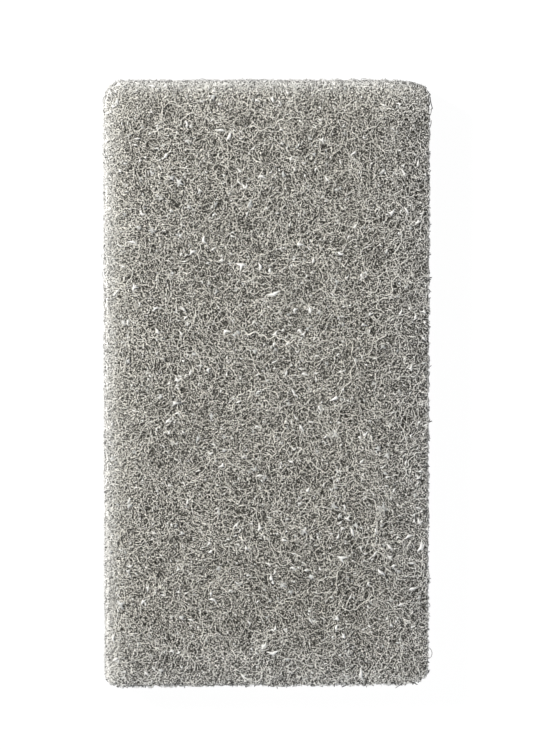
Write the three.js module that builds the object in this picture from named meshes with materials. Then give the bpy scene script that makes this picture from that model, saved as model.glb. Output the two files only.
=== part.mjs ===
// A floor polishing pad: one slab cut from a lofty web of curled, resin-bonded fibre.
// Units are millimetres and +Z is up. The pad lies on one of its two like faces, with its long
// side along Y, and the origin is at the centre of the face that it lies on.
import * as THREE from "three";
import { mergeVertices } from "three/addons/utils/BufferGeometryUtils.js";

// Overall size
const PAD_WIDTH = 131; // along X
const PAD_LENGTH = 245; // along Y
const PAD_THICKNESS = 22; // along Z

// The corners are cut by eye, so each one has its own reach along the two sides that it joins.
const FAR_LEFT_CORNER = { alongX: 7.5, alongY: 9 };
const FAR_RIGHT_CORNER = { alongX: 18, alongY: 4.5 };
const NEAR_LEFT_CORNER = { alongX: 7, alongY: 4 };
const NEAR_RIGHT_CORNER = { alongX: 12, alongY: 5 };
const EDGE_ROUND = 1.5; // radius where a face turns over into the cut sides

// The open web: some knots of the fibre reach the full size, and hollows lie between them.
const KNOT_PITCH = 4.3; // mean distance from knot to knot
const KNOT_SHIFT = 0.25; // furthest a knot lies off its even place, in pitches: more folds facets over
const FULL_SHARE = 0.45; // of the knots that reach the full size
const FACE_HOLLOW = 2; // depth of the deepest hollows in the two faces
const SIDE_HOLLOW = 0.8; // and in the cut sides
const WEB_SEED = 7; // of the web's random numbers, so that every build is the same pad

const RIM_STEPS = 1; // strips across each half of a rounded edge

const { clamp, lerp, seededRandom } = THREE.MathUtils;

// Where the grid's lines cross one side of the slab: close together over the rounded rims, and
// evenly spaced between them.
function gridLines(size) {
  const half = size / 2;
  const inner = half - EDGE_ROUND;
  const spaces = Math.ceil((2 * inner) / KNOT_PITCH);
  const lines = [];
  for (let i = 0; i < RIM_STEPS; i++) lines.push(-half + (EDGE_ROUND * i) / RIM_STEPS);
  for (let i = 0; i <= spaces; i++) lines.push(-inner + (2 * inner * i) / spaces);
  for (let i = RIM_STEPS - 1; i >= 0; i--) lines.push(half - (EDGE_ROUND * i) / RIM_STEPS);
  return lines;
}

// A knot's coordinate on the line at that share of the slab, from -0.5 to 0.5. Off the rims, it lies
// a little to one side of the line.
function knotAt(lines, share) {
  const index = Math.round((share + 0.5) * (lines.length - 1));
  const onRim = index <= RIM_STEPS || index >= lines.length - 1 - RIM_STEPS;
  if (onRim) return lines[index];
  const spacing = lines[index + 1] - lines[index];
  return lines[index] + spacing * KNOT_SHIFT * (2 * seededRandom() - 1);
}

// How far a coordinate lies in the band of that width along a side: 0 at its start, 1 at the side.
function bandShare(coordinate, half, band) {
  return clamp((Math.abs(coordinate) - (half - band)) / band, 0, 1);
}

// The point of a band of that width along a side, for a share of it: bandShare's inverse.
function bandPoint(coordinate, half, band, share) {
  return Math.sign(coordinate) * (half - band + band * share);
}

// The factor that brings a square's corner onto a quarter circle, for the share across it.
function cornerFactor(acrossShare) {
  return Math.sqrt(1 - acrossShare ** 2 / 2);
}

// Turns the slab's top and bottom over into its sides with a round edge.
function roundRim(point) {
  const halfWidth = PAD_WIDTH / 2;
  const halfLength = PAD_LENGTH / 2;
  const halfThickness = PAD_THICKNESS / 2;
  const shareX = bandShare(point.x, halfWidth, EDGE_ROUND);
  const shareY = bandShare(point.y, halfLength, EDGE_ROUND);
  const shareZ = bandShare(point.z, halfThickness, EDGE_ROUND);
  const inPlan = cornerFactor(shareZ);
  const upright = cornerFactor(Math.max(shareX, shareY));
  if (shareX > 0) point.x = bandPoint(point.x, halfWidth, EDGE_ROUND, shareX * inPlan);
  if (shareY > 0) point.y = bandPoint(point.y, halfLength, EDGE_ROUND, shareY * inPlan);
  if (shareZ > 0) point.z = bandPoint(point.z, halfThickness, EDGE_ROUND, shareZ * upright);
}

// Rounds the outline's corner that the point lies in to its quarter ellipse.
function cutCorner(point) {
  const far = point.y > 0;
  const left = point.x < 0;
  const farCorner = left ? FAR_LEFT_CORNER : FAR_RIGHT_CORNER;
  const nearCorner = left ? NEAR_LEFT_CORNER : NEAR_RIGHT_CORNER;
  const { alongX, alongY } = far ? farCorner : nearCorner;
  const shareX = bandShare(point.x, PAD_WIDTH / 2, alongX);
  const shareY = bandShare(point.y, PAD_LENGTH / 2, alongY);
  if (shareX === 0 || shareY === 0) return;
  point.x = bandPoint(point.x, PAD_WIDTH / 2, alongX, shareX * cornerFactor(shareY));
  point.y = bandPoint(point.y, PAD_LENGTH / 2, alongY, shareY * cornerFactor(shareX));
}

// The slab without its web: a box's grid, brought onto the rounded form.
function slabGeometry() {
  const linesX = gridLines(PAD_WIDTH);
  const linesY = gridLines(PAD_LENGTH);
  const linesZ = gridLines(PAD_THICKNESS);
  const counts = [linesX, linesY, linesZ].map((lines) => lines.length - 1);
  const box = new THREE.BoxGeometry(1, 1, 1, ...counts);
  box.deleteAttribute("normal");
  box.deleteAttribute("uv");
  const slab = mergeVertices(box);
  const position = slab.getAttribute("position");
  const point = new THREE.Vector3();
  for (let i = 0; i < position.count; i++) {
    point.fromBufferAttribute(position, i);
    point.set(knotAt(linesX, point.x), knotAt(linesY, point.y), knotAt(linesZ, point.z));
    roundRim(point);
    cutCorner(point);
    position.setXYZ(i, point.x, point.y, point.z);
  }
  return slab;
}

// Splits each of the grid's cells along one diagonal or the other at random, so that the web has no
// grain. A cell's six indices are a, b, d, b, c, d, round its corners a, b, c and d.
function mixDiagonals(slab) {
  const corners = slab.getIndex().array;
  for (let i = 0; i < corners.length; i += 6) {
    if (seededRandom() < 0.5) continue;
    const [a, b, d, , c] = corners.subarray(i, i + 6);
    corners.set([a, b, c, a, c, d], i);
  }
  return slab;
}

// How deep a knot lies under the slab's full size, where the surface faces along that normal.
function hollowDepth(normal) {
  const share = clamp((seededRandom() - FULL_SHARE) / (1 - FULL_SHARE), 0, 1);
  return share * lerp(SIDE_HOLLOW, FACE_HOLLOW, normal.z ** 4);
}

// Sinks the hollows into the slab, square to its surface, and sets it down on its lower face.
function openWeb(slab) {
  slab.computeVertexNormals();
  const position = slab.getAttribute("position");
  const normals = slab.getAttribute("normal");
  const point = new THREE.Vector3();
  const normal = new THREE.Vector3();
  for (let i = 0; i < position.count; i++) {
    point.fromBufferAttribute(position, i);
    normal.fromBufferAttribute(normals, i);
    point.addScaledVector(normal, -hollowDepth(normal));
    position.setXYZ(i, point.x, point.y, point.z + PAD_THICKNESS / 2);
  }
  slab.computeVertexNormals();
  return slab;
}

function polishingPad() {
  const fibre = new THREE.MeshStandardMaterial({ color: 0x928f88, roughness: 0.95, metalness: 0 });
  const pad = new THREE.Mesh(openWeb(mixDiagonals(slabGeometry())), fibre);
  pad.name = "polishing_pad";
  return pad;
}

seededRandom(WEB_SEED);
const part = new THREE.Group();
part.add(polishingPad());

export default part;
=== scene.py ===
# A floor polishing pad: a slab of curled, resin-bonded fibre web, lying on a white floor.
# Lengths are in millimetres: MM turns them into Blender's metres where a mesh, lamp or camera is made.
import math
from typing import NamedTuple

import bmesh
import bpy
import numpy as np
from mathutils import Matrix, Vector, geometry, noise
from mathutils.bvhtree import BVHTree

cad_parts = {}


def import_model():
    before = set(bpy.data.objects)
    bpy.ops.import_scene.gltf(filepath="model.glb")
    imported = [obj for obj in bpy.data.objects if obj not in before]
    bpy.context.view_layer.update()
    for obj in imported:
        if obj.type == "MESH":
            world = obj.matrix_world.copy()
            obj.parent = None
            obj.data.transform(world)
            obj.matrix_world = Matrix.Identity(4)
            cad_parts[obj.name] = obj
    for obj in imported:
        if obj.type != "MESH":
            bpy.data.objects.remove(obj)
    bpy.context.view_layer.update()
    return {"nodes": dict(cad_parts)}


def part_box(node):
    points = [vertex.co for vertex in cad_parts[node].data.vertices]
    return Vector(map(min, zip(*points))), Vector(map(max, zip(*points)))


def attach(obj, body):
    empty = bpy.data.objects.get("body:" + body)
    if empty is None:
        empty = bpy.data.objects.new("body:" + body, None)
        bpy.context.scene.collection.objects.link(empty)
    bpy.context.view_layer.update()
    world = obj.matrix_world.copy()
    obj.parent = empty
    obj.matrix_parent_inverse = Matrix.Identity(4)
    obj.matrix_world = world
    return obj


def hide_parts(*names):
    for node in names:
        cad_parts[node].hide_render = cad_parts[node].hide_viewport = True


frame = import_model()

MM = 0.001
NODE = "polishing_pad"
BODY = "root"
SEED = 20
rng = np.random.default_rng(SEED)

# The slab, as the frame gives it
LOW, HIGH = (np.array(corner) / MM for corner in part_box(NODE))
TOP = HIGH[2]
EDGE_ROUND = 1.5  # radius where a face turns over into the cut sides
UP = np.array([0.0, 0.0, 1.0])
SAME_PLACE = 0.01  # distance under which two points of the solid are one


# Fibre that is drawn one by one, in layers
class Layer(NamedTuple):
    count: int  # of fibres
    step: float  # length of one straight piece of a fibre
    points: int  # on a fibre
    shallow: float  # mean depth of the fibres nearest the surface
    deep: float  # and of those furthest in
    radius: float
    shades: tuple  # of its darkest and palest fibres, where 0 is dark and 1 is pale


# The deeper a layer lies, the darker its shades: painted shade in the depth of the web
TOP_LAYER = Layer(1500, 0.8, 34, 0.0, 0.3, 0.105, (0.75, 1.2))  # on the top face
THIN_LAYER = Layer(7800, 0.8, 20, 0.25, 0.95, 0.09, (0.6, 0.9))  # just under those
FINE_LAYER = Layer(7600, 0.8, 20, 0.4, 1.4, 0.12, (0.15, 0.75))  # and deepest in
# Darker shades than the top's fibre: painted shade, to hold the lit sides down under the key lamp
SIDE_LAYER = Layer(3200, 0.8, 12, 0.0, 0.6, 0.12, (0.3, 0.85))
BOTTOM_LAYER = Layer(800, 1.0, 24, 0.1, 0.8, 0.11, (0.5, 1.0))
LARGEST_PIECE = 195000  # triangles

CRIMPS = ((12.0, 0.25), (5.0, 0.5), (2.5, 0.5))  # wavelength, and radians of turn for a millimetre
CRIMP_SPREAD = (0.4, 1.5)  # of that turn from fibre to fibre, as factors
CRIMP_STEPS = 3  # straight pieces in the shortest wave that a fibre can follow
WAVE_SPREAD = (0.7, 1.4)  # of a wavelength from fibre to fibre, as factors
LEAN = 0.08  # steady turn of a fibre, in radians for a millimetre
SWING = (0.25, 0.8)  # how far a fibre rises and falls
SWING_LENGTH = 5.0
DEPTH_PAINTED_SHADE = 0.36  # painted shade: how much darker a fibre gets for a millimetre of depth
TRIES = 6  # at each fibre, of which the one that lies clearest is kept
CLEARANCE = 0.6  # side of the squares in which fibres are counted for that
SHORTEST = 3  # points on the shortest stretch of a fibre that is kept
THICKNESS_SPREAD = 0.28  # of the logarithm of a fibre's thickness
SIDE_SLANT = 0.9  # spread of the slopes of the fibres along the cut sides, in radians
RIM_GAP = 0.6  # from the rims to the fibre on the cut sides


# Short ends of fibres that come out of the cut sides, by the way that a side faces
class Ends(NamedTuple):
    fray: float  # how far in or out they end, as a factor
    thickness: float  # as a factor
    darkest: float  # shade of the darkest ones
    palest: float  # and of the palest


# Painted light on the ends along the sides towards the light, painted shade on those in shadow
LIT_ENDS = Ends(0.5, 1.0, 0.3, 0.95)
PLAIN_ENDS = Ends(0.5, 1.0, -0.9, 0.3)
SHADOW_ENDS = Ends(0.9, 1.5, -0.9, -0.1)
CUT_ENDS = 1800
END_LENGTH = 2.4
END_POINTS = 4
END_INSET = 0.5  # how far in the shortest of them end, before the factor
END_RANGE = 1.5  # from there to where the longest ones end
END_SLANT = 0.7  # spread of how far they lean along the side and up or down, for a millimetre
END_BEND = 0.3  # and of how far they bend
END_RADII = (0.1, 0.2)
END_COVER = 0.2  # least height over the floor and depth under the top

# Open loops of fibre that stand out from the cut sides
LOOPS = 14  # in any place
LOOP_HALF_WIDTHS = (0.8, 1.6)
LOOP_REACHES = (0.5, 1.2)
LOOP_LOWEST = 4.0  # over the floor
LOOP_HIGHEST = 3.0  # under the top
# Those seen in the photo, on the right side: place along it, half width and reach
PLACED_LOOPS = ((-109.6, 2.3, 1.9), (-89.4, 0.9, 1.0))
LOOP_POINTS = 12
LOOP_OVERRUN = 0.6  # past a half turn at each end, in radians
LOOP_ROOT = 0.2  # depth inside the outline where its half turn starts and ends
LOOP_LEAN = 1.0  # furthest that it leans along the side, and up or down
LOOP_RADIUS = 0.15
LOOP_SHADES = (-0.1, 0.2)
OUTLINE_STEPS = 4000  # along the outline, to find a place on it
RIGHT_SIDE = 0.9  # share of the half width past which the outline is the right side

# Resin that set in the web: flecks with arms drawn out along the fibres
TOP_FLECKS = 760
BOTTOM_FLECKS = 90
FLECK_MARGIN = 1.5  # inside the outline
FLECK_DEPTH = 0.35  # of the deepest
FLECK_SIZE = 0.4  # radius of a middling one
FLECK_SPREAD = 0.42  # of the logarithm of the sizes
FLECK_LARGEST = 0.95
FLECK_ARMS = (1, 1, 2, 2, 3)  # numbers of arms, each as likely
FLECK_REACHES = (1.4, 3.8)  # of an arm, in sizes
FLECK_POINTS = 6  # along an arm
FLECK_TURN = 0.35  # spread of the arms about their even places, in radians
FLECK_CURL = 0.9  # and of how far an arm curls
FLECK_RISE = 0.1  # and of how steeply it climbs
FLECK_TIP = 0.08  # radius at an arm's end
FLECK_TAPER = 1.3  # power by which an arm gets thinner
FLECK_BLUNT = 0.6  # radius at an arm's start, in sizes

# Thin films of resin between fibres
TOP_FILMS = 330
BOTTOM_FILMS = 80
FILM_MARGIN = 2.0  # inside the outline
FILM_CORNERS = (3, 6)  # the fewest, and one more than the most
FILM_SHIFT = 0.3  # furthest that a corner lies off its even place, in spaces
FILM_SIZE = 0.75  # of a middling one
FILM_SPREAD = 0.4  # of the logarithm of the sizes
FILM_CORNER_REACH = (0.8, 1.6)  # from the middle, in sizes
FILM_SIDE_REACH = (0.35, 0.6)  # halfway between two corners
FILM_TILT = 0.3  # spread of the slopes
FILM_DEPTHS = (0.1, 0.8)
FILM_LOWEST_HUB = 0.2  # over the floor
FILM_LOWEST_RIM = 0.1
FILM_HALF = 0.05  # half the thickness

# Small beads of resin on the fibres
TOP_BEADS = 5400
BOTTOM_BEADS = 700
BEAD_DEPTH = 0.45  # of the deepest fibre that carries beads
BEAD_SIZE = 0.17  # of a middling one
BEAD_SPREAD = 0.4  # of the logarithm of the sizes
BEAD_LARGEST = 0.42
BEAD_STRETCH = (0.7, 1.5)  # of each of its six tips, as factors
# Its faces, by the tips towards +X, +Y, +Z, -X, -Y and -Z
BEAD_FACES = np.array([
    [0, 1, 2], [1, 3, 2], [3, 4, 2], [4, 0, 2],
    [1, 0, 5], [3, 1, 5], [4, 3, 5], [0, 4, 5],
])

# The inner web
CORE_INSET = 0.6  # from the cut sides
CORE_DEPTH = 1.5  # under the two faces
CORE_ROUGHNESS = 0.3
CORE_LUMP = 2.0  # size of the lumps that make it rough
FACE_SLOPES = (0.3, 0.7)  # height of the normal where a side starts to be a face, and where it is one
RELIEF = 0.35  # share of the solid's hollows that the fibre follows

# The cut sides are ragged
RAGGED = (-0.55, 0.3)  # how far they lie in from the outline, from lump to notch
RAGGED_PITCH = 1.1
RAGGED_MARGIN = 30.0  # past the pad, for the fibres that start there

# Painted light: paler colour for the light from the upper left that is scattered in the open web
# along the cut sides there: some just under the top, and some near the floor, which throws it back
LIT_FROM = np.array([-0.82, 0.57])
LIT_FACING = (0.16, 0.66)  # how far towards it a side faces to be lit at all, and to be lit in full
LIT_NEAR = 0.22  # of that light, for what comes from the near end
LIT_REACH = 4.5
LIT_START = 1.0  # depth at which it has its full strength
LIT_DEPTHS = (1.5, 4.5)  # where it starts to fade under the top, and where it ends
BOUNCE = 0.25  # of that painted light, for what the floor throws back on those sides
BOUNCE_HEIGHT = 14.0
LIT_ENDS_FACING = 0.1  # how far towards it a side faces to have ends of fibre paler by painted light
SHADOW_FACING = -0.4  # and how far away from it to lie in shadow

# Painted light colour, cooler grey along the cut sides: how warm it is there, and how far in that reaches
LIT_SIDES_WARMTH = (0.1, 6.0)
SHADOW_SIDES_WARMTH = (0.42, 30.0)
SHADOW_SIDES_PAINTED_LIGHT = 0.25  # painted light: how much paler the fibre along the sides in shadow is


# The pad's outline, seen from above

def outline_corners():
    """The corners of the outline, anticlockwise: the hull of the solid's points."""
    points = np.array([v.co[:2] for v in frame["nodes"][NODE].data.vertices]) / MM
    hull = points[geometry.convex_hull_2d([Vector(point) for point in points])]
    spaced = np.linalg.norm(np.roll(hull, -1, axis=0) - hull, axis=1) > SAME_PLACE
    return hull[spaced]


class Outline:
    """The cut outline of the pad, with distances to it and places along it."""

    def __init__(self, corners):
        sides = np.roll(corners, -1, axis=0) - corners
        lengths = np.linalg.norm(sides, axis=1)
        self.ring = np.vstack([corners, corners[:1]])
        self.normals = np.c_[sides[:, 1], -sides[:, 0]] / lengths[:, None]
        self.reach = (self.normals * corners).sum(1)
        self.ends = np.r_[0, np.cumsum(lengths)]
        self.middles = (self.ends[1:] + self.ends[:-1]) / 2
        self.length = self.ends[-1]

    def inset(self, points):
        """How far points of the plane lie inside the outline."""
        return (self.reach - points @ self.normals.T).min(-1)

    def place(self, along):
        """The points at those lengths along the outline, and the outward normals there."""
        along = np.mod(along, self.length)
        points = [np.interp(along, self.ends, self.ring[:, k]) for k in (0, 1)]
        normals = [np.interp(along, self.middles, self.normals[:, k], period=self.length) for k in (0, 1)]
        return np.stack(points, -1), unit(np.stack(normals, -1))


def unit(vectors):
    return vectors / np.maximum(np.linalg.norm(vectors, axis=-1, keepdims=True), 1e-9)


def solid_mesh():
    """The solid's points and its triangles."""
    mesh = frame["nodes"][NODE].data
    mesh.calc_loop_triangles()
    points = np.array([vertex.co for vertex in mesh.vertices]) / MM
    triangles = np.array([triangle.vertices for triangle in mesh.loop_triangles])
    return points, triangles


class Heights:
    """How high the solid's top or bottom lies over the plane, from a grid of rays cast at it."""

    PITCH = 1.0
    MARGIN = 2  # rows of the grid past the slab, on each side

    def __init__(self, tree, outward):
        self.start = LOW[:2] - self.MARGIN * self.PITCH
        rows = np.ceil((HIGH[:2] - LOW[:2]) / self.PITCH).astype(int) + 2 * self.MARGIN + 1
        rim = TOP / 2 + outward * (TOP / 2 - EDGE_ROUND)
        self.values = np.full(rows, rim)
        for i, j in np.ndindex(*rows):
            x, y = self.start + np.array([i, j]) * self.PITCH
            hit = tree.ray_cast((x, y, TOP / 2 + outward * TOP), (0, 0, -outward))[0]
            if hit:
                self.values[i, j] = hit.z
        face = TOP if outward > 0 else 0
        self.values = face + RELIEF * (self.values - face)

    def __call__(self, points):
        """The heights at points of the plane. Past the grid they are those at its edge."""
        place = (points - self.start) / self.PITCH
        place = np.clip(place, 0, np.array(self.values.shape) - 1.001)
        x, y = np.moveaxis(place.astype(int), -1, 0)
        share_x, share_y = np.moveaxis(place % 1, -1, 0)
        near = self.values[x, y] * (1 - share_x) + self.values[x + 1, y] * share_x
        far = self.values[x, y + 1] * (1 - share_x) + self.values[x + 1, y + 1] * share_x
        return near * (1 - share_y) + far * share_y


class Ragged:
    """How far in the cut sides lie at points of the plane, at random from square to square."""

    def __init__(self):
        self.start = LOW[:2] - RAGGED_MARGIN
        counts = np.ceil((HIGH[:2] + RAGGED_MARGIN - self.start) / RAGGED_PITCH).astype(int)
        self.values = rng.uniform(*RAGGED, counts)

    def __call__(self, points):
        place = ((points - self.start) / RAGGED_PITCH).astype(int)
        place = np.clip(place, 0, np.array(self.values.shape) - 1)
        return self.values[place[..., 0], place[..., 1]]


def in_shadow(normals):
    """Which sides with those outward normals face away from the light."""
    return normals @ LIT_FROM < SHADOW_FACING


def painted_light(points):
    """How much light is painted in at points of the web, for the light scattered there, from 0 to 1."""
    facing = np.interp(outline.normals @ LIT_FROM, LIT_FACING, (0, 1))
    facing = np.maximum(facing, LIT_NEAR * np.clip(-outline.normals[:, 1], 0, 1))
    sides = facing > 0
    insets = np.maximum(outline.reach[sides] - points[:, :2] @ outline.normals[sides].T, 0)
    glow = (facing[sides] * np.exp(-insets / LIT_REACH)).max(-1)
    inset = insets.min(-1)
    under = TOP - points[:, 2]
    covered = np.clip(np.minimum(inset, under) / LIT_START, 0, 1)
    fade = np.interp(under, LIT_DEPTHS, (1, 0))
    bounced = np.interp(points[:, 2], (0, BOUNCE_HEIGHT), (BOUNCE, 0))
    return glow * np.maximum(covered * fade, bounced)


def warmth(points):
    """How warm the grey of the fibre is at points, up to 1 well inside the cut sides: painted light colour.
    """
    insets = np.maximum(outline.reach - points[:, :2] @ outline.normals.T, 0)
    shadowed = in_shadow(outline.normals)
    least, reach = np.where(shadowed[:, None], SHADOW_SIDES_WARMTH, LIT_SIDES_WARMTH).T
    return (least + (1 - least) * np.sqrt(np.minimum(insets / reach, 1))).min(-1)


outline = Outline(outline_corners())
solid_points, solid_triangles = solid_mesh()
solid_tree = BVHTree.FromPolygons(solid_points.tolist(), solid_triangles.tolist())
top_heights = Heights(solid_tree, 1)
bottom_heights = Heights(solid_tree, -1)
ragged = Ragged()


# Strands: paths with a thickness

class Strand(NamedTuple):
    path: np.ndarray  # points along it
    aside: np.ndarray  # a direction that it never runs along, for all of it or for each point
    radius: np.ndarray  # at each point
    shade: np.ndarray  # at each point, where 0 is dark and 1 is pale


def waves(count, along, wavelength):
    """Sine waves along fibres, each with its own length and phase."""
    lengths = wavelength * rng.uniform(*WAVE_SPREAD, (count, 1))
    return np.sin(2 * np.pi * (along / lengths + rng.random((count, 1))))


def crimped(middles, headings, layer):
    """Paths in a plane that turn one way and then the other, as crimped fibre does."""
    count = len(middles)
    along = np.arange(layer.points) * layer.step
    turn = rng.normal(0, LEAN, (count, 1))
    for wavelength, sharpness in CRIMPS:
        if wavelength > CRIMP_STEPS * layer.step:
            factor = rng.uniform(*CRIMP_SPREAD, (count, 1))
            turn = turn + sharpness * factor * waves(count, along, wavelength)
    angle = headings[:, None] + np.cumsum(turn, axis=1) * layer.step
    moves = layer.step * np.stack([np.cos(angle), np.sin(angle)], -1)
    paths = np.cumsum(moves, axis=1)
    return paths + (middles - paths[:, layer.points // 2])[:, None]


def depths(layer, count):
    """How deep that many of the layer's fibres lie, as they rise and fall along their length."""
    along = np.arange(layer.points) * layer.step
    mean = rng.uniform(layer.shallow, layer.deep, (count, 1))
    swing = rng.uniform(*SWING, (count, 1))
    return np.maximum(mean + swing * waves(count, along, SWING_LENGTH), 0) + layer.radius


def clearest(paths):
    """One of the tries at each fibre: the one that crosses the fewest fibres laid before it."""
    places = np.floor((paths - paths.min((0, 1, 2))) / CLEARANCE).astype(int)
    laid = np.zeros(places.max((0, 1, 2)) + 1, int)
    picked = np.empty((len(paths), *paths.shape[2:]))
    for i, tries in enumerate(places):
        crossed = laid[tries[..., 0], tries[..., 1]].sum(1)
        best = np.argmin(crossed)
        laid[tries[best, :, 0], tries[best, :, 1]] += 1
        picked[i] = paths[i, best]
    return picked


def rim_drop(inset):
    """How far the rounded rim lies under the face, by the distance from its edge."""
    short = np.clip(EDGE_ROUND - inset, 0, EDGE_ROUND)
    return EDGE_ROUND - np.sqrt(EDGE_ROUND**2 - short**2)


def cut(points, aside, painted_shade_and_light, kept, layer):
    """The stretches of the fibres that are kept, as strands, darker by that much painted shade at each
    point, paler by painted light where it is below 0.
    """
    change = np.diff(np.pad(kept.astype(np.int8), ((0, 0), (1, 1))), axis=1)
    rows, firsts = np.nonzero(change == 1)
    ends = np.nonzero(change == -1)[1]
    strands = []
    for row, first, end in zip(rows, firsts, ends):
        if end - first < SHORTEST:
            continue
        stretch = slice(first, end)
        radius = np.full(end - first, layer.radius * math.exp(rng.normal(0, THICKNESS_SPREAD)))
        shade = rng.uniform(*layer.shades) - painted_shade_and_light[row, stretch]
        strands.append(Strand(points[row, stretch], aside[row, stretch], radius, shade))
    return strands


def face_strands(layer, heights, outward):
    """Fibres that lie along the top or the bottom face, cut off at the outline."""
    margin = layer.step * layer.points / 2
    tries = layer.count * TRIES
    middles = rng.uniform(LOW[:2] - margin, HIGH[:2] + margin, (tries, 2))
    paths = crimped(middles, rng.uniform(0, 2 * np.pi, tries), layer)
    paths = clearest(paths.reshape(layer.count, TRIES, layer.points, 2))
    depth = depths(layer, layer.count)
    level = np.clip(heights(paths) - outward * depth, layer.radius, None)
    points = np.concatenate([paths, level[..., None]], -1)
    aside = np.broadcast_to(UP * outward, points.shape)
    kept = outline.inset(paths) > ragged(paths)
    return cut(points, aside, DEPTH_PAINTED_SHADE * depth, kept, layer)


def side_strands(layer):
    """Fibres that lie along the cut sides, more level than upright."""
    middles = np.c_[rng.uniform(0, outline.length, layer.count), rng.uniform(0, TOP, layer.count)]
    headings = rng.normal(0, SIDE_SLANT, layer.count) + np.pi * rng.integers(0, 2, layer.count)
    paths = crimped(middles, headings, layer)
    from_rim = np.minimum(paths[..., 1], TOP - paths[..., 1])
    places, normals = outline.place(paths[..., 0])
    depth = depths(layer, layer.count) + rim_drop(from_rim) + ragged(places)
    points = np.concatenate([places - normals * depth[..., None], paths[..., 1:]], -1)
    aside = np.concatenate([normals, np.zeros_like(normals[..., :1])], -1)
    # Painted shade by depth, less painted light on the sides in shadow
    painted_shade_and_light = DEPTH_PAINTED_SHADE * depth - SHADOW_SIDES_PAINTED_LIGHT * in_shadow(normals)
    return cut(points, aside, painted_shade_and_light, from_rim > RIM_GAP, layer)


def cut_ends(count):
    """Short ends of fibres that come out of the cut sides, furthest and darker by painted shade on the
    sides in shadow, paler by painted light on the lit sides.
    """
    share = np.linspace(1, 0, END_POINTS)[:, None]
    places, normals = outline.place(rng.uniform(0, outline.length, count))
    height = rng.uniform(RIM_GAP, TOP - RIM_GAP, count)
    painted_lit = (normals @ LIT_FROM > LIT_ENDS_FACING)[:, None]
    shadowed = in_shadow(normals)[:, None]
    looks = np.where(painted_lit, LIT_ENDS, np.where(shadowed, SHADOW_ENDS, PLAIN_ENDS))
    fray, thickness, darkest, palest = looks.T
    tip = (END_INSET - END_RANGE * rng.random(count) ** 2) * fray
    tip += rim_drop(np.minimum(height, TOP - height)) + ragged(places)
    slant = rng.normal(0, END_SLANT, (count, 2))
    bend = rng.normal(0, END_BEND, (count, 2))
    strands = []
    for i in range(count):
        drift = END_LENGTH * (slant[i] * share + bend[i] * share**2)
        tangent = np.array([-normals[i, 1], normals[i, 0]])
        flat = places[i] - normals[i] * (tip[i] + END_LENGTH * share) + tangent * drift[:, :1]
        level = np.clip(height[i] + drift[:, 1:], END_COVER, TOP - END_COVER)
        shade = np.full(END_POINTS, rng.uniform(darkest[i], palest[i]))
        radius = np.full(END_POINTS, thickness[i] * rng.uniform(*END_RADII))
        strands.append(Strand(np.hstack([flat, level]), UP, radius, shade))
    return strands


def loops(count):
    """A few fibres that stand out from the cut sides in open loops."""
    strands = []
    for _ in range(count):
        middle = rng.uniform(0, outline.length)
        half_width = rng.uniform(*LOOP_HALF_WIDTHS)
        reach = rng.uniform(*LOOP_REACHES)
        height = rng.uniform(LOOP_LOWEST, TOP - LOOP_HIGHEST)
        strands.append(loop(middle, half_width, reach, height))
    return strands


def placed_loops():
    """The loops that the photo shows on the right side, under the top."""
    along = np.linspace(0, outline.length, OUTLINE_STEPS)
    places = outline.place(along)[0]
    right = np.nonzero(places[:, 0] > RIGHT_SIDE * HIGH[0])[0]
    strands = []
    for y, half_width, reach in PLACED_LOOPS:
        nearest = right[np.argmin(np.abs(places[right, 1] - y))]
        strands.append(loop(along[nearest], half_width, reach, TOP - LOOP_HIGHEST))
    return strands


def loop(middle, half_width, reach, height):
    """One loop, with its middle at that length along the outline."""
    turn = np.linspace(-LOOP_OVERRUN, np.pi + LOOP_OVERRUN, LOOP_POINTS)
    lean = rng.uniform(-LOOP_LEAN, LOOP_LEAN)
    places, normals = outline.place(middle + half_width * np.cos(turn) + lean * np.sin(turn))
    flat = places + normals * (reach * np.sin(turn) - LOOP_ROOT)[:, None]
    level = height + rng.uniform(-LOOP_LEAN, LOOP_LEAN) * np.cos(turn)
    shade = np.full(LOOP_POINTS, rng.uniform(*LOOP_SHADES))
    return Strand(np.c_[flat, level], UP, np.full(LOOP_POINTS, LOOP_RADIUS), shade)


def face_flecks(count, heights, outward):
    """Flecks of set resin along the top or the bottom face."""
    strands = []
    for _ in range(count):
        middle = rng.uniform(LOW[:2] + FLECK_MARGIN, HIGH[:2] - FLECK_MARGIN)
        if outline.inset(middle) < FLECK_MARGIN:
            continue
        depth = rng.uniform(0, FLECK_DEPTH)
        strands += fleck(np.array([*middle, heights(middle) - outward * depth]))
    return strands


def fleck(centre):
    """The arms of one fleck, drawn out along the fibres that it holds."""
    size = min(FLECK_SIZE * math.exp(rng.normal(0, FLECK_SPREAD)), FLECK_LARGEST)
    heading = rng.uniform(0, 2 * np.pi)
    arms = rng.choice(FLECK_ARMS)
    share = np.linspace(0, 1, FLECK_POINTS)
    strands = []
    for arm in range(arms):
        length = size * rng.uniform(*FLECK_REACHES)
        start = heading + 2 * np.pi * arm / arms + rng.normal(0, FLECK_TURN)
        angle = start + rng.normal(0, FLECK_CURL) * share
        rise = np.full(FLECK_POINTS, rng.normal(0, FLECK_RISE))
        moves = np.c_[np.cos(angle), np.sin(angle), rise] * length / (FLECK_POINTS - 1)
        path = centre + np.cumsum(moves, axis=0) - moves[0] - moves[0] * size / length
        radius = FLECK_TIP + (size - FLECK_TIP) * (1 - share) ** FLECK_TAPER
        radius[0] *= FLECK_BLUNT
        path[:, 2] = np.maximum(path[:, 2], radius)
        strands.append(Strand(path, UP, radius, np.ones(FLECK_POINTS)))
    return strands


# Meshes

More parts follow.
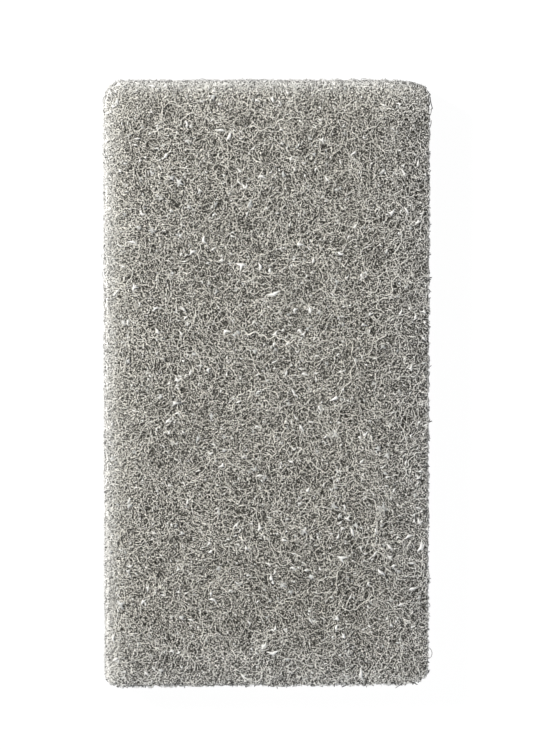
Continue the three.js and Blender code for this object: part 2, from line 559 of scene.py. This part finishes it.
def new_piece(name, points, faces, material):
    """A smooth mesh from points in millimetres and arrays of faces, which rides on the pad's body."""
    sizes = np.concatenate([np.full(len(group), group.shape[1]) for group in faces])
    corners = np.concatenate([group.ravel() for group in faces])
    mesh = bpy.data.meshes.new(name)
    mesh.vertices.add(len(points))
    mesh.vertices.foreach_set("co", (points * MM).astype(np.float32).ravel())
    mesh.loops.add(len(corners))
    mesh.loops.foreach_set("vertex_index", corners.astype(np.int32))
    mesh.polygons.add(len(sizes))
    mesh.polygons.foreach_set("loop_start", (np.cumsum(sizes) - sizes).astype(np.int32))
    mesh.polygons.foreach_set("use_smooth", np.ones(len(sizes), bool))
    mesh.update(calc_edges=True)
    mesh.materials.append(material)
    piece = bpy.data.objects.new(name, mesh)
    bpy.context.scene.collection.objects.link(piece)
    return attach(piece, BODY)


# How many sides a tube has. With three or more it is closed.
FLAT = 1
OPEN = 2  # underneath
CUT_END_SIDES = 3
FLECK_SIDES = 4
RINGS = {FLAT: (0, 180), OPEN: (-30, 90, 210)}  # where a tube's points lie round it, in degrees
FLANKS = {FLAT: (-1.0, 1.0), OPEN: (-1.0, 0.0, 1.0)}  # and how far to one side of its ridge


def tubes(name, strands, material, sides):
    """One piece of tubes along the strands, with that many sides."""
    lengths = np.array([len(strand.path) for strand in strands])
    points = np.concatenate([strand.path for strand in strands])
    aside = np.concatenate([np.broadcast_to(strand.aside, strand.path.shape) for strand in strands])
    radius = np.concatenate([strand.radius for strand in strands])
    ends = np.cumsum(lengths)
    joined = np.ones(len(points) - 1, bool)
    joined[ends[:-1] - 1] = False
    move = unit(np.diff(points, axis=0)) * joined[:, None]
    tangent = unit(np.pad(move, ((0, 1), (0, 0))) + np.pad(move, ((1, 0), (0, 0))))
    across = unit(np.cross(tangent, aside))
    upright = np.cross(across, tangent)
    turn = np.radians(RINGS.get(sides, 360 * np.arange(sides) / sides))
    corners = len(turn)
    ring = np.cos(turn)[:, None] * across[:, None] + np.sin(turn)[:, None] * upright[:, None]
    around = np.arange(sides)
    after = (around + 1) % corners
    starts = np.nonzero(joined)[0]
    here = starts[:, None] * corners
    there = here + corners
    walls = np.stack([here + around, there + around, there + after, here + after], -1).reshape(-1, 4)
    faces = [walls]
    if sides > OPEN:
        faces.append((ends - lengths)[:, None] * corners + around)
        faces.append((ends - 1)[:, None] * corners + around[::-1])
    verts = (points[:, None] + radius[:, None, None] * ring).reshape(-1, 3)
    verts[:, 2] = np.maximum(verts[:, 2], 0)
    piece = new_piece(name, verts, faces, material)
    shade = np.concatenate([strand.shade for strand in strands])
    add_values(piece.data, "shade", np.repeat(shade, corners))
    add_values(piece.data, "flank", np.tile(FLANKS.get(sides, np.zeros(sides)), len(points)))
    add_values(piece.data, "painted_light", np.repeat(painted_light(points), corners))
    add_values(piece.data, "warmth", np.repeat(warmth(points), corners))
    add_strip_map(piece.data, len(starts), sides, np.searchsorted(starts, ends - lengths))
    return piece


def add_values(mesh, name, values):
    """A value for each point of the mesh, for its material."""
    mesh.attributes.new(name, "FLOAT", "POINT").data.foreach_set("value", values.astype(np.float32))


CELL_STRIP = np.array([[0, 0.2], [1, 0.2], [1, 0.8], [0, 0.8]])  # corners of a tube's wall in its cell
CAP_RADIUS = 0.2  # of a closed tube's end in its cell


def add_strip_map(mesh, count, sides, first_cells):
    """A texture map in which each straight piece of a strand has a cell, and its sides share it."""
    across = math.ceil(math.sqrt(count))
    cells = np.repeat(np.arange(count), sides)
    uvs = (np.stack([cells % across, cells // across], -1)[:, None] + CELL_STRIP).reshape(-1, 2)
    if sides > OPEN:
        turn = 2 * np.pi * np.arange(sides) / sides
        spot = 0.5 + CAP_RADIUS * np.stack([np.cos(turn), np.sin(turn)], -1)
        cells = np.r_[first_cells, np.r_[first_cells[1:], count] - 1]
        caps = np.stack([cells % across, cells // across], -1)[:, None] + spot
        uvs = np.concatenate([uvs, caps.reshape(-1, 2)])
    mesh.uv_layers.new(name="OFBake").data.foreach_set("uv", (uvs / across).astype(np.float32).ravel())


def web(name, strands, material, sides):
    """The strands as tubes, in as few pieces as the limit on a piece allows."""
    triangles = np.cumsum([2 * sides * len(strand.path) for strand in strands])
    pieces = math.ceil(triangles[-1] / LARGEST_PIECE)
    breaks = np.searchsorted(triangles, triangles[-1] * np.arange(1, pieces) / pieces)
    for i, group in enumerate(np.split(np.arange(len(strands)), breaks)):
        label = f"{name}_{i + 1}" if pieces > 1 else name
        tubes(label, [strands[j] for j in group], material, sides)


def beads(name, count, strands, heights, outward, material):
    """Specks of resin on the fibres that lie nearest the surface."""
    points = np.concatenate([strand.path for strand in strands])
    depth = outward * (heights(points[:, :2]) - points[:, 2])
    near = points[depth < BEAD_DEPTH]
    centres = near[rng.choice(len(near), count, replace=False)]
    tips = np.vstack([np.eye(3), -np.eye(3)])
    sizes = np.minimum(BEAD_SIZE * np.exp(rng.normal(0, BEAD_SPREAD, count)), BEAD_LARGEST)
    stretch = rng.uniform(*BEAD_STRETCH, (count, len(tips), 1))
    verts = centres[:, None] + sizes[:, None, None] * stretch * tips
    verts[..., 2] = np.maximum(verts[..., 2], 0)
    faces = (BEAD_FACES + len(tips) * np.arange(count)[:, None, None]).reshape(-1, 3)
    return new_piece(name, verts.reshape(-1, 3), [faces], material)


def films(name, count, heights, outward, material):
    """Thin skins of resin between the fibres of the top or the bottom face."""
    verts, faces = [], []
    while len(verts) < count:
        middle = rng.uniform(LOW[:2] + FILM_MARGIN, HIGH[:2] - FILM_MARGIN)
        if outline.inset(middle) < FILM_MARGIN:
            continue
        points, triangles = film(middle, heights, outward)
        faces.append(triangles + sum(len(group) for group in verts))
        verts.append(points)
    return new_piece(name, np.concatenate(verts), [np.concatenate(faces)], material)


def film(middle, heights, outward):
    """The points and triangles of one film, with its corners drawn out and its sides pulled in."""
    corners = rng.integers(*FILM_CORNERS)
    heading = rng.uniform(0, 2 * np.pi)
    places = np.arange(corners) + rng.uniform(-FILM_SHIFT, FILM_SHIFT, corners)
    turn = np.sort(heading + 2 * np.pi * places / corners)
    size = FILM_SIZE * math.exp(rng.normal(0, FILM_SPREAD))
    angle = np.stack([turn, turn + np.pi / corners], -1).ravel()
    drawn_out = size * rng.uniform(*FILM_CORNER_REACH, corners)
    pulled_in = size * rng.uniform(*FILM_SIDE_REACH, corners)
    reach = np.stack([drawn_out, pulled_in], -1).ravel()
    tilt = rng.normal(0, FILM_TILT, 2)
    flat = np.c_[np.cos(angle), np.sin(angle)] * reach[:, None]
    hub_level = max(heights(middle) - outward * rng.uniform(*FILM_DEPTHS), FILM_LOWEST_HUB)
    hub = np.array([*middle, hub_level])
    rim = np.c_[middle + flat, np.maximum(hub_level + flat @ tilt, FILM_LOWEST_RIM)]
    half = UP * FILM_HALF
    points = np.vstack([rim + half, rim - half, hub + 2 * half, hub - half])
    n = len(rim)
    upper = np.arange(n)
    after = (upper + 1) % n
    top = np.stack([upper, after, np.full(n, 2 * n)], -1)
    low = np.stack([after + n, upper + n, np.full(n, 2 * n + 1)], -1)
    edge = np.stack([upper + n, after + n, after], -1)
    other = np.stack([upper + n, after, upper], -1)
    return points, np.vstack([top, low, edge, other])


# Materials. Scales are in noise lumps or cells for a metre.

SHADE_WEIGHT = 0.8  # of a fibre's own shade
FLANK_PAINTED_SHADE = 0.7  # painted shade: how much darker the flanks of a fibre are than its ridge
GRAIN_SCALE = 1500.0
BLOTCH_SCALE = 130.0
BLOTCH_WEIGHT = 0.5
PAINTED_GAPS = ((1400.0, 0.42), (800.0, 0.25))  # painted shade of gaps between the fine fibres: scale, and radius in cells
GAP_BOTTOM = 0.6  # share of that radius that is darkest
FIBRE_STOPS = (
    (0.0, (0.022, 0.020, 0.015)),
    (0.3, (0.46, 0.445, 0.390)),
    (0.65, (0.84, 0.812, 0.735)),
    (1.0, (0.98, 0.960, 0.900)),
)
FIBRE_ROUGHNESS = 0.55

RESIN_SCALE = 900.0
RESIN_STOPS = ((0.3, (0.84, 0.83, 0.80)), (0.7, (0.96, 0.955, 0.94)))
RESIN_ROUGHNESS = 0.35
FILM_SCALE = 700.0
FILM_STOPS = ((0.3, (0.46, 0.465, 0.455)), (0.7, (0.70, 0.705, 0.69)))
FILM_ROUGHNESS = 0.4

# The inner web's nets of lines: scale, half width of a line in cells, strength and offset
CORE_NETS = (
    (620.0, 0.14, 1.0, (0.0, 0.0, 0.0)),
    (760.0, 0.14, 0.45, (0.3, 0.1, 0.2)),
    (900.0, 0.16, 0.2, (0.6, 0.5, 0.4)),
)
NET_BEND = 1.2  # how far the lines are bent, in cells
CORE_LINES_WEIGHT = 0.7
CORE_PAINTED_LIGHT_WEIGHT = 1.7
CORE_SIDE_WEIGHT = 0.2  # how much paler it is at the cut sides
# Its darkest stop, in the gaps between the lines, is painted shade
CORE_STOPS = ((0.0, (0.015, 0.014, 0.010)), (0.7, (0.14, 0.134, 0.112)), (1.0, (0.73, 0.728, 0.705)))
CORE_MATERIAL_ROUGHNESS = 0.8


def add(tree, kind, **settings):
    node = tree.nodes.new(kind)
    for key, value in settings.items():
        setattr(node, key, value)
    return node


def new_material(name):
    material = bpy.data.materials.new(name)
    material.use_nodes = True
    return material, material.node_tree, material.node_tree.nodes["Principled BSDF"]


def noise_at(tree, scale, detail=2.0):
    """A noise texture in the pad's own coordinates."""
    place = add(tree, "ShaderNodeTexCoord")
    texture = add(tree, "ShaderNodeTexNoise")
    texture.inputs["Scale"].default_value = scale
    texture.inputs["Detail"].default_value = detail
    tree.links.new(place.outputs["Object"], texture.inputs["Vector"])
    return texture.outputs["Fac"]


def ramp(tree, value, stops):
    node = add(tree, "ShaderNodeValToRGB")
    elements = node.color_ramp.elements
    while len(elements) < len(stops):
        elements.new(0.5)
    for element, (position, colour) in zip(elements, stops):
        element.position = position
        element.color = (*colour, 1)
    tree.links.new(value, node.inputs["Fac"])
    return node.outputs["Color"]


def combine(tree, operation, first, second):
    node = add(tree, "ShaderNodeMath", operation=operation)
    for socket, value in zip(node.inputs, (first, second)):
        if isinstance(value, (int, float)):
            socket.default_value = value
        else:
            tree.links.new(value, socket)
    return node.outputs["Value"]


def value_of(tree, name):
    return add(tree, "ShaderNodeAttribute", attribute_name=name).outputs["Fac"]


def weighted(tree, *parts):
    """The sum of values, each times its weight."""
    total = None
    for value, weight in parts:
        part = combine(tree, "MULTIPLY", value, weight)
        total = part if total is None else combine(tree, "ADD", total, part)
    return total


def fibre_material(name, painted_light_weight, grain_weight, painted_gap_weight, base):
    """Fibre in its own shade with grain and blotches, paler by painted light, with painted shade on its
    dark flanks and in gaps if they have a weight.
    """
    material, tree, shader = new_material(name)
    grain = combine(tree, "SUBTRACT", noise_at(tree, GRAIN_SCALE, detail=0.0), 0.5)
    blotch = combine(tree, "SUBTRACT", noise_at(tree, BLOTCH_SCALE), 0.5)
    across = value_of(tree, "flank")
    flank = combine(tree, "MULTIPLY", across, across)
    parts = [
        (value_of(tree, "shade"), SHADE_WEIGHT),
        (value_of(tree, "painted_light"), painted_light_weight),
        (flank, -FLANK_PAINTED_SHADE),
        (grain, grain_weight),
        (blotch, BLOTCH_WEIGHT),
    ]
    if painted_gap_weight:
        parts += [(painted_gaps(tree, scale, radius), painted_gap_weight) for scale, radius in PAINTED_GAPS]
    mixed = combine(tree, "ADD", weighted(tree, *parts), base)
    tint = add(tree, "ShaderNodeHueSaturation")
    tree.links.new(value_of(tree, "warmth"), tint.inputs["Saturation"])
    tree.links.new(ramp(tree, mixed, FIBRE_STOPS), tint.inputs["Color"])
    tree.links.new(tint.outputs["Color"], shader.inputs["Base Color"])
    shader.inputs["Roughness"].default_value = FIBRE_ROUGHNESS
    return material


def mottled_material(name, scale, stops, roughness):
    """Resin, mottled by noise of that scale."""
    material, tree, shader = new_material(name)
    tree.links.new(ramp(tree, noise_at(tree, scale), stops), shader.inputs["Base Color"])
    shader.inputs["Roughness"].default_value = roughness
    return material


def painted_gaps(tree, scale, radius):
    """Painted shade of small gaps that go straight down, each with its own strength up to 1, and 0 between
    them.
    """
    place = add(tree, "ShaderNodeTexCoord")
    cells = add(tree, "ShaderNodeTexVoronoi", voronoi_dimensions="2D")
    cells.inputs["Scale"].default_value = scale
    hole = add(tree, "ShaderNodeMapRange", interpolation_type="SMOOTHSTEP")
    hole.inputs["From Min"].default_value = GAP_BOTTOM * radius
    hole.inputs["From Max"].default_value = radius
    hole.inputs["To Min"].default_value = 1.0
    hole.inputs["To Max"].default_value = 0.0
    tree.links.new(place.outputs["Object"], cells.inputs["Vector"])
    tree.links.new(cells.outputs["Distance"], hole.inputs["Value"])
    return combine(tree, "MULTIPLY", hole.outputs["Result"], cells.outputs["Color"])


def net(tree, scale, width, offset):
    """Lines of fibre that close round small gaps: 1 on a line, 0 in a gap."""
    place = add(tree, "ShaderNodeTexCoord")
    bend = add(tree, "ShaderNodeTexNoise")
    bend.inputs["Scale"].default_value = scale / 2
    shift = add(tree, "ShaderNodeVectorMath", operation="MULTIPLY_ADD")
    shift.inputs[1].default_value = (NET_BEND / scale,) * 3
    move = add(tree, "ShaderNodeVectorMath", operation="ADD")
    move.inputs[1].default_value = offset
    cells = add(tree, "ShaderNodeTexVoronoi", feature="DISTANCE_TO_EDGE")
    cells.inputs["Scale"].default_value = scale
    line = add(tree, "ShaderNodeMapRange", interpolation_type="SMOOTHSTEP")
    line.inputs["From Max"].default_value = width
    line.inputs["To Min"].default_value = 1.0
    line.inputs["To Max"].default_value = 0.0
    tree.links.new(place.outputs["Object"], bend.inputs["Vector"])
    tree.links.new(bend.outputs["Color"], shift.inputs[0])
    tree.links.new(place.outputs["Object"], shift.inputs[2])
    tree.links.new(shift.outputs["Vector"], move.inputs[0])
    tree.links.new(move.outputs["Vector"], cells.inputs["Vector"])
    tree.links.new(cells.outputs["Distance"], line.inputs["Value"])
    return line.outputs["Result"]


def core_material():
    """The depth of the web: finer lines of fibre over dark gaps of painted shade, paler by painted light
    along the lit cut sides.
    """
    material, tree, shader = new_material("inner_web")
    lines = None
    for scale, width, strength, offset in CORE_NETS:
        layer = combine(tree, "MULTIPLY", net(tree, scale, width, offset), strength)
        lines = layer if lines is None else combine(tree, "MAXIMUM", lines, layer)
    mixed = weighted(
        tree,
        (lines, CORE_LINES_WEIGHT),
        (value_of(tree, "painted_light"), CORE_PAINTED_LIGHT_WEIGHT),
        (value_of(tree, "side"), CORE_SIDE_WEIGHT),
    )
    tree.links.new(ramp(tree, mixed, CORE_STOPS), shader.inputs["Base Color"])
    shader.inputs["Roughness"].default_value = CORE_MATERIAL_ROUGHNESS
    return material


# The inner web, under the drawn fibre

def core():
    """The depth of the web, which stands for the solid pad: the solid's own form, drawn in."""
    piece = new_piece("inner_web", solid_points, [solid_triangles], core_material())
    form = bmesh.new()
    form.from_mesh(piece.data)
    bmesh.ops.remove_doubles(form, verts=form.verts, dist=SAME_PLACE * MM)
    form.to_mesh(piece.data)
    form.free()
    draw_in(piece.data)
    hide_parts(NODE)
    return piece


def draw_in(mesh):
    """Brings the inner web under the drawn fibre, with a rough surface."""
    places = np.array([vertex.co for vertex in mesh.vertices]) / MM
    normals = np.array([vertex.normal for vertex in mesh.vertices])
    rough = np.array([noise.noise(Vector(place) / CORE_LUMP) for place in places])
    level = np.interp(np.abs(normals[:, 2]), FACE_SLOPES, (0, 1))
    face = np.where(normals[:, 2] > 0, TOP, 0)
    places[:, 2] += level * (1 - RELIEF) * (face - places[:, 2])
    depth = CORE_INSET + (CORE_DEPTH - CORE_INSET) * level
    places += normals * (CORE_ROUGHNESS * rough - depth)[:, None]
    mesh.vertices.foreach_set("co", (places * MM).astype(np.float32).ravel())
    mesh.polygons.foreach_set("use_smooth", np.ones(len(mesh.polygons), bool))
    mesh.update()
    # Painted light along the lit cut sides, and how much of a cut side each point is
    add_values(mesh, "painted_light", painted_light(places))
    add_values(mesh, "side", 1 - level)


core()
fibre = fibre_material("fibre", painted_light_weight=0.8, grain_weight=0.8, painted_gap_weight=0.0, base=0.17)
painted_gap_fibre = fibre_material("fibre_painted_gaps", painted_light_weight=1.7, grain_weight=0.2, painted_gap_weight=-2.5, base=0.43)
resin = mottled_material("resin", RESIN_SCALE, RESIN_STOPS, RESIN_ROUGHNESS)
film_skin = mottled_material("resin_film", FILM_SCALE, FILM_STOPS, FILM_ROUGHNESS)
top_strands = face_strands(TOP_LAYER, top_heights, 1)
bottom_strands = face_strands(BOTTOM_LAYER, bottom_heights, -1)
web("top_web", top_strands, fibre, OPEN)
web("thin_web", face_strands(THIN_LAYER, top_heights, 1), painted_gap_fibre, FLAT)
web("fine_web", face_strands(FINE_LAYER, top_heights, 1), painted_gap_fibre, FLAT)
web("bottom_web", bottom_strands, fibre, OPEN)
beads("top_beads", TOP_BEADS, top_strands, top_heights, 1, resin)
beads("bottom_beads", BOTTOM_BEADS, bottom_strands, bottom_heights, -1, resin)
web("side_web", side_strands(SIDE_LAYER), fibre, OPEN)
web("cut_ends", cut_ends(CUT_ENDS) + loops(LOOPS) + placed_loops(), fibre, CUT_END_SIDES)
web("top_flecks", face_flecks(TOP_FLECKS, top_heights, 1), resin, FLECK_SIDES)
web("bottom_flecks", face_flecks(BOTTOM_FLECKS, bottom_heights, -1), resin, FLECK_SIDES)
films("top_films", TOP_FILMS, top_heights, 1, film_skin)
films("bottom_films", BOTTOM_FILMS, bottom_heights, -1, film_skin)


# Stage, light and camera

FLOOR_HALF = 4000.0
FLOOR_COLOUR = (0.85, 0.85, 0.85, 1)  # by which it throws light back on the pad
FLOOR_GLOW = 1.08  # by which it is seen as white
FLOOR_SHOWN = 0.9  # share of that glow in what is seen of it: the rest keeps the pad's shadow
WHITE = (1, 1, 1, 1)
WORLD_LIGHT = 0.11
CAMERA_DISTANCE = 2000.0
CAMERA_LEAN = (-3.0, 5.0)  # degrees towards +X and +Y
CAMERA_REACH = 100000.0
FRAME_HEIGHT = 302.1  # of the picture, at the pad's top
AIM = (0.48, 4.24)  # the picture's centre, at the pad's top


def shown(tree, strength):
    """That strength for what the camera, a gloss or a clear part sees, and 0 for all other light."""
    path = add(tree, "ShaderNodeLightPath").outputs
    seen = combine(tree, "MAXIMUM", path["Is Camera Ray"], path["Is Glossy Ray"])
    return combine(tree, "MULTIPLY", combine(tree, "MAXIMUM", seen, path["Is Transmission Ray"]), strength)


def floor():
    mesh = bpy.data.meshes.new("floor")
    half = FLOOR_HALF * MM
    corners = [(-half, -half, 0), (half, -half, 0), (half, half, 0), (-half, half, 0)]
    mesh.from_pydata(corners, [], [(0, 1, 2, 3)])
    piece = bpy.data.objects.new("floor", mesh)
    bpy.context.scene.collection.objects.link(piece)
    material, tree, shader = new_material("floor")
    tree.nodes.remove(shader)
    paint = add(tree, "ShaderNodeBsdfDiffuse")
    paint.inputs["Color"].default_value = FLOOR_COLOUR
    glow = add(tree, "ShaderNodeEmission")
    glow.inputs["Strength"].default_value = FLOOR_GLOW
    mix = add(tree, "ShaderNodeMixShader")
    tree.links.new(shown(tree, FLOOR_SHOWN), mix.inputs["Fac"])
    tree.links.new(paint.outputs["BSDF"], mix.inputs[1])
    tree.links.new(glow.outputs["Emission"], mix.inputs[2])
    tree.links.new(mix.outputs["Shader"], tree.nodes["Material Output"].inputs["Surface"])
    mesh.materials.append(material)


def world():
    """White to look at, and a weak light on the pad."""
    studio = bpy.data.worlds.new("studio")
    bpy.context.scene.world = studio
    studio.use_nodes = True
    tree = studio.node_tree
    light = tree.nodes["Background"]
    light.inputs["Color"].default_value = WHITE
    light.inputs["Strength"].default_value = WORLD_LIGHT
    backdrop = add(tree, "ShaderNodeBackground")
    backdrop.inputs["Color"].default_value = WHITE
    mix = add(tree, "ShaderNodeMixShader")
    tree.links.new(shown(tree, 1.0), mix.inputs["Fac"])
    tree.links.new(light.outputs["Background"], mix.inputs[1])
    tree.links.new(backdrop.outputs["Background"], mix.inputs[2])
    tree.links.new(mix.outputs["Shader"], tree.nodes["World Output"].inputs["Surface"])


def lamp(name, toward, distance, size, level, colour):
    """A square lamp in that direction, which gives a white surface facing it that level."""
    light = bpy.data.lights.new(name, "AREA")
    light.size = size * MM
    light.energy = level * math.pi**2 * (distance * MM) ** 2
    light.color = colour
    holder = bpy.data.objects.new(name, light)
    bpy.context.scene.collection.objects.link(holder)
    way = Vector(toward).normalized()
    holder.location = (Vector((0, 0, TOP)) + way * distance) * MM
    holder.rotation_euler = way.to_track_quat("Z", "Y").to_euler()
    holder.visible_camera = False


def camera():
    data = bpy.data.cameras.new("camera")
    holder = bpy.data.objects.new("camera", data)
    bpy.context.scene.collection.objects.link(holder)
    back = Vector([math.sin(math.radians(lean)) for lean in CAMERA_LEAN] + [0])
    back.z = math.sqrt(1 - back.length_squared)
    right = Vector((0, 1, 0)).cross(back).normalized()
    holder.rotation_euler = Matrix((right, back.cross(right), back)).transposed().to_euler()
    holder.location = (Vector((*AIM, TOP)) + back * CAMERA_DISTANCE) * MM
    data.lens = data.sensor_width * CAMERA_DISTANCE / FRAME_HEIGHT
    data.clip_end = CAMERA_REACH * MM
    bpy.context.scene.camera = holder


floor()
world()
lamp("key", (-0.65, 0.4, 0.64), distance=1300, size=280, level=1.36, colour=(1.0, 0.99, 0.965))
lamp("fill", (0.7, -0.67, 0.25), distance=800, size=300, level=0.44, colour=(0.88, 0.93, 1.0))
camera()
bpy.context.scene.view_settings.view_transform = "Standard"
